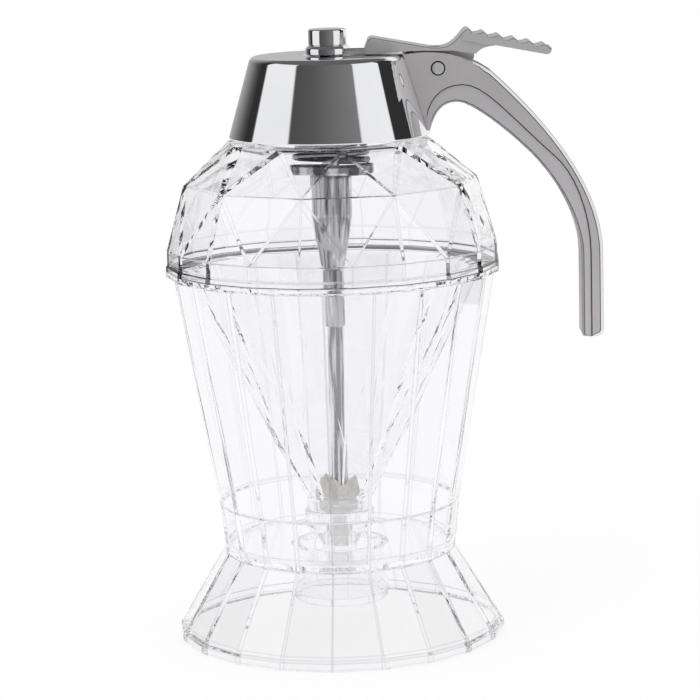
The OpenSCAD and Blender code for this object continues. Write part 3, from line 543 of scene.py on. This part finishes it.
# The outlines below take their ends from the CAD pieces. A corner is a radius, a height and a fillet in mm.
cap = sizeOf("cap_shell")
capLook = {
    "steps": 192, "segments": 10, "baseRadius": 26.5, "wall": 1.3, "bushHole": 6.4, "crown": 1.9,
    "taper": 5.6 / 19.2,  # of the radius, for each mm of height
    "screwRadius": 1.25, "screwSide": 4.1, "screwDrop": 6.6, "screwsFromTo": (15.0, 30.0)}
capUnder = cap.top - capLook["wall"]


def capAt(z):
    # the skirt's outside radius at a height
    return capLook["baseRadius"] - capLook["taper"] * (z - cap.bottom)


shell = turnedPiece("cap_shell", "capShell", [
    (capLook["bushHole"], cap.top, 0.2),
    (capLook["bushHole"], capUnder, 0),
    (capAt(capUnder) - capLook["wall"], capUnder, 0),
    (capLook["baseRadius"] - capLook["wall"], cap.bottom, 0.1),
    (capLook["baseRadius"], cap.bottom, 0.35),
    (capAt(cap.top), cap.top, capLook["crown"])], capLook)
cutAway(shell, screwHoles(capLook, cap.top - capLook["screwDrop"]))

gasket = sizeOf("cap_gasket")
gasketLook = {"inside": 18.2, "fillet": 0.2}
turnedPiece("cap_gasket", "capGasket", [
    (gasketLook["inside"], gasket.bottom, gasketLook["fillet"]),
    (gasket.radius, gasket.bottom, gasketLook["fillet"]),
    (gasket.radius, gasket.top, gasketLook["fillet"]),
    (gasketLook["inside"], gasket.top, gasketLook["fillet"])], gasketLook)

bevelledCopy("cap_liner", "capLiner", {"width": 0.2})

bush = sizeOf("guide_bush")
bushLook = {"bore": 2.15, "stem": 3.5}
turnedPiece("guide_bush", "guideBush", [
    (bushLook["bore"], bush.top, 0.25),
    (bushLook["bore"], bush.bottom, 0.1),
    (bushLook["stem"], bush.bottom, 0.3),
    (bushLook["stem"], capUnder, 0),
    (bush.radius, capUnder, 0),
    (bush.radius, bush.top, 0.35)], bushLook)

bevelledCopy("bush_nut", "bushNut", {"width": 0.2})
bevelledCopy("handle_screws", "handleScrews", {"width": 0.15})

# The pin lies along Y. A groove is round each of its ends. The groove's faces are painted dark as shade,
# and the end faces are painted paler as a highlight.
pinLow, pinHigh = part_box("lever_pin")
pinAt = (pinLow + pinHigh) / 2
pinRadius, pinReach = round((pinHigh.x - pinAt.x) / mm, 3), round(pinHigh.y / mm, 3)
pinLook = {"steps": 64, "face": 1.55, "grooveFrom": 1.68, "grooveTo": 1.78, "grooveDepth": 0.25,
           "rimDepth": 0.1}
grooveFloor = pinReach - pinLook["grooveDepth"]
pinLook.update({
    "turn": Matrix.Translation(pinAt) @ Matrix.Rotation(math.pi / 2, 4, "X"),
    "marksFrom": grooveFloor - 0.15,
    "marks": [("groove", pinLook["face"] + 0.01, pinRadius + 0.05, 1.0),
              ("shine", 0, pinLook["face"] - 0.05, 0.6)]})
pinEnd = [
    (0, pinReach, 0),
    (pinLook["face"], pinReach, 0.08),
    (pinLook["grooveFrom"], grooveFloor, 0),
    (pinLook["grooveTo"], grooveFloor, 0),
    (pinRadius, pinReach - pinLook["rimDepth"], 0)]
turnedPiece("lever_pin", "leverPin", [(r, -y, fillet) for r, y, fillet in pinEnd] + pinEnd[::-1], pinLook)

# The pieces that sit on the rod have a hole a hair wider than it.
rod = sizeOf("plunger_rod")
bore = rod.radius + 0.03

collar = sizeOf("lift_collar")
collarLook = {"segments": 6, "height": 2.37, "disc": 1.05, "skirtInside": 4.9, "topRadius": 5.1,
              "shoulder": 0.75, "notchHalf": 4.1, "pastSide": 1.2, "pastFoot": 0.63}
discUnder, collarFoot = collar.top - collarLook["disc"], collar.top - collarLook["height"]
lifted = turnedPiece("lift_collar", "liftCollar", [
    (bore, collar.top, 0),
    (bore, discUnder, 0),
    (collarLook["skirtInside"], discUnder, 0.2),
    (collarLook["skirtInside"], collarFoot, 0.1),
    (collar.radius, collarFoot, 0.25),
    (collar.radius, collar.top - collarLook["shoulder"], 0.35),
    (collarLook["topRadius"], collar.top, 0.5)], collarLook)
cutAway(lifted, boxBetween(
    (0, -collarLook["notchHalf"], collarFoot - collarLook["pastFoot"]),
    (collar.radius + collarLook["pastSide"], collarLook["notchHalf"], discUnder)))

knob = sizeOf("knob")
knobLook = {"segments": 6, "footRadius": 4.8, "footHeight": 0.35, "crown": 0.55}
turnedPiece("knob", "topKnob", [
    (bore, knob.bottom, 0),
    (knobLook["footRadius"], knob.bottom, 0.15),
    (knob.radius, knob.bottom + knobLook["footHeight"], 0.2),
    (knob.radius, knob.top, knobLook["crown"]),
    (0, knob.top, 0),
    (0, rod.top, 0),
    (bore, rod.top, 0)], knobLook)

rodLook = {"fillet": 0.3}
turnedPiece("plunger_rod", "plungerRod", [
    (0, rod.bottom, 0),
    (rod.radius, rod.bottom, rodLook["fillet"]),
    (rod.radius, rod.top, rodLook["fillet"]),
    (0, rod.top, 0)], rodLook)

plate = sizeOf("spring_plate")
sleeve = sizeOf("rod_sleeve")
plateLook = {"segments": 6, "rim": 1.2}
turnedPiece("spring_plate", "springPlate", [
    (bore, sleeve.top, 0),
    (plate.radius - plateLook["rim"], sleeve.top, 0.5),
    (plate.radius - plateLook["rim"], plate.bottom, 0.3),
    (plate.radius, plate.bottom, 0.55),
    (plate.radius, plate.top, 0.9),
    (bore, plate.top, 0)], plateLook)

sleeveLook = {"segments": 8, "footRadius": 3.1, "flareHeight": 13.4, "flareRound": 8.0}
turnedPiece("rod_sleeve", "rodSleeve", [
    (bore, sleeve.bottom, 0),
    (sleeveLook["footRadius"], sleeve.bottom, 0.3),
    (sleeve.radius, sleeve.bottom + sleeveLook["flareHeight"], sleeveLook["flareRound"]),
    (sleeve.radius, sleeve.top, 0.15),
    (bore, sleeve.top, 0)], sleeveLook)

stop = sizeOf("sleeve_stop")
stopLook = {"endRadius": 2.4, "taper": 0.4, "neck": 0.8}
turnedPiece("sleeve_stop", "sleeveStop", [
    (bore, stop.bottom, 0),
    (stopLook["endRadius"], stop.bottom, 0),
    (stop.radius, stop.bottom + stopLook["taper"], 0.15),
    (stop.radius, stop.top - stopLook["neck"] - stopLook["taper"], 0.2),
    (stopLook["endRadius"], stop.top - stopLook["neck"], 0.1),
    (stopLook["endRadius"], stop.top, 0),
    (bore, stop.top, 0)], stopLook)

# Each pair is a radius and a height above the spout's tip.
spout = sizeOf("spout")
stubFoot = sizeOf("jar_cone").bottom - spout.bottom
spoutHeight = spout.top - spout.bottom
spoutLook = {"segments": 6, "outlet": 2.1, "outletHead": 4.4, "tip": 2.9, "nozzleFoot": (3.1, 0.4),
             "nozzleHead": (4.8, 6.4), "beadInside": (7.5, 11.1), "beadFoot": 11.2, "stub": 6.37,
             "mouth": 5.9, "seatHead": (5.35, 17.2), "seatFoot": (2.8, 12.2), "throatFoot": (2.8, 5.9)}
spoutCorners = [
    (spoutLook["outlet"], 0, 0.15),
    (spoutLook["tip"], 0, 0.25),
    (*spoutLook["nozzleFoot"], 0.3),
    (*spoutLook["nozzleHead"], 0.6),
    (*spoutLook["beadInside"], 0.4),
    (spout.radius, spoutLook["beadFoot"], 1.4),
    (spout.radius, stubFoot, 0.6),
    (spoutLook["stub"], stubFoot, 0),
    (spoutLook["stub"], spoutHeight, 0),
    (spoutLook["mouth"], spoutHeight, 0),
    (*spoutLook["seatHead"], 0.1),
    (*spoutLook["seatFoot"], 0.1),
    (*spoutLook["throatFoot"], 0.2),
    (spoutLook["outlet"], spoutLook["outletHead"], 0.2)]
turnedPiece("spout", "clearSpout", [
    (radius, spout.bottom + height, fillet) for radius, height, fillet in spoutCorners], spoutLook)

bevelledCopy("valve_plug", "valvePlug", {"width": 0.12, "clamp": False})
print("turned pieces made")


# A wire is wound round the Z axis, with its turns close together at both ends.
def makeCoilGroup():
    make, given = newGroup("woundSpring", {
        "Coil Radius": ("Float", 0.01), "Wire Radius": ("Float", 0.001), "Wire Sides": ("Int", 14),
        "Turns": ("Float", 6.0), "End Turns": ("Float", 1.0), "Foot Turns": ("Float", 2.0),
        "Foot Rise": ("Float", 1.25), "Foot": ("Float", 0.0), "Height": ("Float", 0.02),
        "Steps": ("Int", 300), "Finish": ("Material", None)})
    steps = given["Steps"]
    line = make.add("GeometryNodeMeshLine", {}, {"Count": steps + 1.0})
    share = make.add("GeometryNodeInputIndex") / steps
    turn = share * given["Turns"]
    endPitch = given["Wire Radius"] * 2.06  # turns that nearly touch
    footPitch = endPitch * given["Foot Rise"]
    active = given["Turns"] - given["End Turns"] - given["Foot Turns"]
    rise = (given["Height"] - given["Wire Radius"] * 2.0 - given["End Turns"] * endPitch
            - given["Foot Turns"] * footPitch)
    past = turn - given["Foot Turns"]
    lower = turn.least(given["Foot Turns"]) * footPitch
    middle = past.most(0.0).least(active) / active * rise
    upper = (past - active).most(0.0) * endPitch
    angle = turn * (2 * math.pi)
    at = make.add("ShaderNodeCombineXYZ", {}, {
        "X": given["Coil Radius"] * angle.to("COSINE"), "Y": given["Coil Radius"] * angle.to("SINE"),
        "Z": given["Foot"] + given["Wire Radius"] + lower + middle + upper})
    placed = make.add("GeometryNodeSetPosition", {}, {"Geometry": line, "Position": at})
    curve = make.add("GeometryNodeMeshToCurve", {}, {"Mesh": placed})
    section = make.add("GeometryNodeCurvePrimitiveCircle", {}, {
        "Resolution": given["Wire Sides"], "Radius": given["Wire Radius"]})
    tube = make.add("GeometryNodeCurveToMesh", {}, {
        "Curve": curve, "Profile Curve": section, "Fill Caps": True})
    soft = make.add("GeometryNodeSetShadeSmooth", {}, {"Geometry": tube})
    return endGroup(make, soft, given["Finish"])


coil = sizeOf("return_spring")
coilHeight = coil.top - coil.bottom
coilLook = {"wireRadius": 0.7, "turns": 7.0, "endTurns": 1.0, "footTurns": 2.5, "footRise": 1.2,
            "steps": 336}
coilMesh = grown("returnSpring", makeCoilGroup(), lineMesh("springSource", [(0, 0, 0)]), {
    "Coil Radius": (coil.radius - coilLook["wireRadius"]) * mm, "Wire Radius": coilLook["wireRadius"] * mm,
    "Turns": coilLook["turns"], "End Turns": coilLook["endTurns"], "Foot Turns": coilLook["footTurns"],
    "Foot Rise": coilLook["footRise"], "Foot": coil.bottom * mm, "Height": coilHeight * mm,
    "Steps": coilLook["steps"], "Finish": materials["spring_wire"]})
spring = place(linked("returnSpring", coilMesh), "return_spring")
rodSlide = next(j for j in frame["record"]["behaviour"]["joints"] if j["name"] == "rod_slide")
stroke = (rodSlide["range_m"][1] - rodSlide["range_m"][0]) / mm
round(1 - stroke / coilHeight, 4)
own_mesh(spring)

# The edges of the handle and the lever are told apart by the two kinds of face beside them.
# A cut: the two kinds, width in mm, segments, marks, and the kind of the faces that it makes. Cuts that
# make a kind named in "clamped" stop where they would overlap.
labels = ("edge", "groove", "shine", "inner")
plainCuts = {"from": 30, "smooth": 25, "clamped": ("crest",), "marks": {}}


def finishByKinds(node, name, kindOf, look):
    look = {**plainCuts, **look}
    bm = copiedMesh(node)
    for label in labels:
        bm.faces.layers.float.new(label)
    madeBy = bm.faces.layers.int.new("madeBy")
    layers = {label: bm.faces.layers.float[label] for label in labels}
    kinds = [cut[-1] for cut in look["cuts"]]

    def kind(face):
        return kinds[face[madeBy] - 1] if face[madeBy] else kindOf(face)

    for face in bm.faces:
        for label, value in look["marks"].get(kind(face), {}).items():
            face[layers[label]] = value
    for number, (first, second, width, segments, marks, made) in enumerate(look["cuts"], 1):
        edges = [e for e in bm.edges if len(e.link_faces) == 2
                 and e.calc_face_angle(0.0) > math.radians(look["from"])
                 and {kind(f) for f in e.link_faces} == {first, second}]
        if "spared" in look:
            edges = [e for e in edges if not look["spared"](e)]
        if edges:
            values = {label: 0.0 for label in labels} | marks
            for face in cutEdges(bm, edges, width, segments, values, made in look["clamped"]):
                face[madeBy] = number
    bmesh.ops.dissolve_degenerate(bm, dist=tiny, edges=bm.edges)
    sharpen(bm, look["smooth"], cheeks=True)
    return place(newPiece(name, bm), node)


# How far from the middle plane the faces of a kind reach in mm, and how much of a normal is along Y.
zones = {"cheek": 5.7, "step": 5.4, "side": 4.9, "acrossNormal": 0.99, "bevelNormals": (0.4, 0.9)}


def handleFace(face):
    across = abs(face.normal.y)
    reach = [v.co.y / mm for v in face.verts]
    farthest = max(map(abs, reach))
    if across > zones["acrossNormal"]:
        return "cheek" if farthest > zones["cheek"] else "innerCheek"
    if zones["bevelNormals"][0] < across < zones["bevelNormals"][1]:
        return "bevel"
    if min(reach) > zones["step"] or max(reach) < -zones["step"]:
        return "step"
    return "side" if farthest > zones["side"] else "hidden"


def sparedEdge(edge):
    # the pin's hole and the seat against the cap keep their edges
    middle = (edge.verts[0].co + edge.verts[1].co) / 2
    byPin = (middle.xz - pinAt.xz).length / mm < pinRadius + handleLook["pinMargin"]
    bySeat = middle.x / mm < capAt(middle.z / mm) + handleLook["seatMargin"]
    return byPin or bySeat


handleLook = {
    "spared": sparedEdge, "pinMargin": 0.5, "seatMargin": 0.6,
    # The polished bevel along the spine gets a painted highlight.
    "marks": {"bevel": {"shine": 1.0}, "innerCheek": {"inner": 1.0}},
    # Cuts that make a line paint shade along the steps, gaps and outlines of the casting.
    "cuts": [
        ("cheek", "bevel", 0.16, 2, {"groove": 0.85}, "line"),
        ("cheek", "step", 0.32, 2, {"groove": 0.95}, "line"),
        ("bevel", "side", 0.15, 2, {"groove": 0.5}, "line"),
        ("innerCheek", "side", 0.5, 1, {"groove": 0.12}, "chamfer"),
        ("innerCheek", "chamfer", 0.14, 1, {"groove": 0.8}, "line"),
        ("side", "chamfer", 0.12, 1, {"groove": 0.6}, "line"),
        ("side", "side", 0.3, 3, {"edge": 0.7}, "crest")]}
finishByKinds("handle", "castHandle", handleFace, handleLook)

leverLook = {
    "topNormal": 0.15,  # faces that look up more than this are the ridged top
    # The cut between the cheeks and the top paints a shade line along the top outline.
    "cuts": [
        ("cheek", "top", 0.16, 2, {"groove": 0.8}, "line"),
        ("cheek", "under", 0.25, 3, {"edge": 0.6}, "crest"),
        ("top", "under", 0.3, 3, {"edge": 0.7}, "crest")]}


def leverFace(face):
    if abs(face.normal.y) > zones["acrossNormal"]:
        return "cheek"
    return "top" if face.normal.z > leverLook["topNormal"] else "under"


finishByKinds("thumb_lever", "thumbLever", leverFace, leverLook)


# Mirrors and the clear pieces see two different rooms, both round the object and out of the picture.
def makeWorld(look):
    world = bpy.data.worlds.new("studio")
    world.use_nodes = True
    world.node_tree.nodes.clear()
    bpy.context.scene.world = world
    make = Maker(world.node_tree)
    camera, glossy, through = make.add("ShaderNodeLightPath", out=(
        "Is Camera Ray", "Is Glossy Ray", "Is Transmission Ray"))
    direction = make.add("ShaderNodeTexCoord", out="Generated")
    x, y, z = make.add("ShaderNodeSeparateXYZ", {}, {0: direction}, out=(0, 1, 2))
    # turn about the axis, towards the handle, from 0 to 1 with the camera's side at 0.5
    turn = make.add("ShaderNodeMath", {"operation": "ARCTAN2"}, {0: x, 1: y * -1.0}) / (2 * math.pi) + 0.5

    def background(colour, strength=1.0):
        return make.add("ShaderNodeBackground", {}, {"Color": colour, "Strength": strength})

    def room(part):
        panels = make.add("ShaderNodeValToRGB", {"stops": [
            ((degrees + 180) / 360, shade) for degrees, shade in part["panels"]]}, {"Fac": turn})
        high = make.ease(z, part["overheadFrom"], part["overheadTo"])
        around = make.mix(high, panels, (*part["overhead"], 1))
        level = make.ease(z, part["tableTo"], part["tableFrom"])
        return background(make.mix(level, (*part["table"], 1), around))

    fill = background((*look["fill"], 1), look["fillStrength"])
    white = background((1, 1, 1, 1))
    lit = make.add("ShaderNodeMixShader", {}, {0: glossy, 1: fill, 2: room(look["mirrored"])})
    lit = make.add("ShaderNodeMixShader", {}, {0: through, 1: lit, 2: room(look["seenThrough"])})
    shown = make.add("ShaderNodeMixShader", {}, {0: camera, 1: lit, 2: white})
    make.add("ShaderNodeOutputWorld", {}, {"Surface": shown})


def lilac(value):
    return value * 0.985, value * 0.975, value


# Panels: degrees about the axis, and a grey or a colour.
makeWorld({
    "mirrored": {
        "panels": [
            (-180, 0.5), (-168, 0.55), (-164, 0.42), (-145, 0.28), (-125, 0.09), (-114, 0.03),
            (-102, 0.03), (-100, 0.9), (-51, 0.9), (-49, 0.075), (-20, 0.1), (10, 0.16), (37, 0.21),
            (38.5, 0.9), (80, 0.93), (81.5, 0.03), (113, 0.03), (114.5, 0.9), (160, 0.95), (170, 0.5),
            (179.9, 0.5)],
        "overheadFrom": 0.62, "overheadTo": 0.68, "overhead": (0.12, 0.12, 0.125),
        "tableFrom": -0.3, "tableTo": -0.45, "table": (0.85, 0.85, 0.86)},
    "seenThrough": {
        "panels": [
            (-180, 0.99), (-135, 0.98), (-118, lilac(0.8)), (-106, lilac(0.66)), (-104, lilac(0.25)),
            (-98, lilac(0.25)), (-96, lilac(0.66)), (-60, lilac(0.85)), (-47, lilac(0.8)), (-45, 0.28),
            (-23, 0.28), (-21, lilac(0.75)), (17, lilac(0.7)), (19, 0.28), (43, 0.28), (45, lilac(0.85)),
            (96, lilac(0.66)), (98, lilac(0.25)), (104, lilac(0.25)), (106, lilac(0.66)),
            (118, lilac(0.8)), (135, 0.98), (179.9, 0.99)],
        "overheadFrom": 0.5, "overheadTo": 0.8, "overhead": (0.97, 0.97, 0.98),
        "tableFrom": -0.3, "tableTo": -0.45, "table": (0.95, 0.95, 0.96)},
    "fill": (0.98, 0.98, 1.0), "fillStrength": 0.85})


def makeFloor(look):
    bm = bmesh.new()
    bmesh.ops.create_grid(bm, x_segments=1, y_segments=1, size=look["reach"] * mm)
    floor = newPiece("floor", bm)
    floor.location.z = -look["below"] * mm
    mat, make = newMaterial("paleFloor")
    camera, glossy, through = make.add("ShaderNodeLightPath", out=(
        "Is Camera Ray", "Is Glossy Ray", "Is Transmission Ray"))
    seen = (camera + glossy + through).least(1.0)
    matte = make.add("ShaderNodeBsdfDiffuse", {}, {"Color": (*look["matte"], 1)})
    white = make.add("ShaderNodeEmission", {}, {"Color": (1, 1, 1, 1), "Strength": look["white"]})
    mix = make.add("ShaderNodeMixShader", {}, {0: seen * look["glow"], 1: matte, 2: white})
    finishMaterial(make, mix)
    floor.data.materials.append(mat)


makeFloor({"reach": 600.0, "below": 0.05, "matte": (0.92, 0.92, 0.92), "white": 1.03, "glow": 0.85})


def makeLamp(name, look):
    data = bpy.data.lights.new(name, "AREA")
    data.energy, data.size = look["power"], look["size"]
    lamp = linked(name, data)
    lamp.location = look["at"]
    lamp.rotation_mode = "QUATERNION"
    lamp.rotation_quaternion = (Vector(look["aim"]) - Vector(look["at"])).to_track_quat("-Z", "Y")
    lamp.visible_glossy = lamp.visible_transmission = False


makeLamp("keyLamp", {"power": 4.0, "size": 0.8, "at": (-0.7, -0.8, 1.1), "aim": (0, 0, 0.08)})


def makeCamera(look):
    data = bpy.data.cameras.new("photoView")
    data.sensor_width = look["sensor"]
    data.lens = look["sensor"] * look["focalPixels"] / look["framePixels"]
    data.clip_start, data.clip_end = look["clip"]
    cam = linked("photoView", data)
    pitch, yaw, roll = (math.radians(look[k]) for k in ("pitch", "yaw", "roll"))
    ahead = Vector((math.sin(yaw) * math.cos(pitch), math.cos(yaw) * math.cos(pitch), -math.sin(pitch)))
    right = Vector((math.cos(yaw), -math.sin(yaw), 0))
    up = right.cross(ahead)
    turnedRight = right * math.cos(roll) + up * math.sin(roll)
    turnedUp = up * math.cos(roll) - right * math.sin(roll)
    cam.matrix_world = Matrix.Translation((0, -look["distance"] * mm, look["height"] * mm)) @ Matrix(
        (turnedRight, turnedUp, -ahead)).transposed().to_4x4()
    bpy.context.scene.camera = cam


makeCamera({"distance": 750.0, "height": 207.0, "pitch": 9.9, "yaw": 0.3, "roll": -1.4,
            "focalPixels": 2864.0, "framePixels": 700.0, "sensor": 36.0, "clip": (0.05, 20.0)})
bpy.context.scene.view_settings.view_transform = "Standard"
# light passes many clear walls before it leaves the jar
for limit in ("max_bounces", "glossy_bounces", "transmission_bounces"):
    setattr(bpy.context.scene.cycles, limit, 40)
print("stage set")
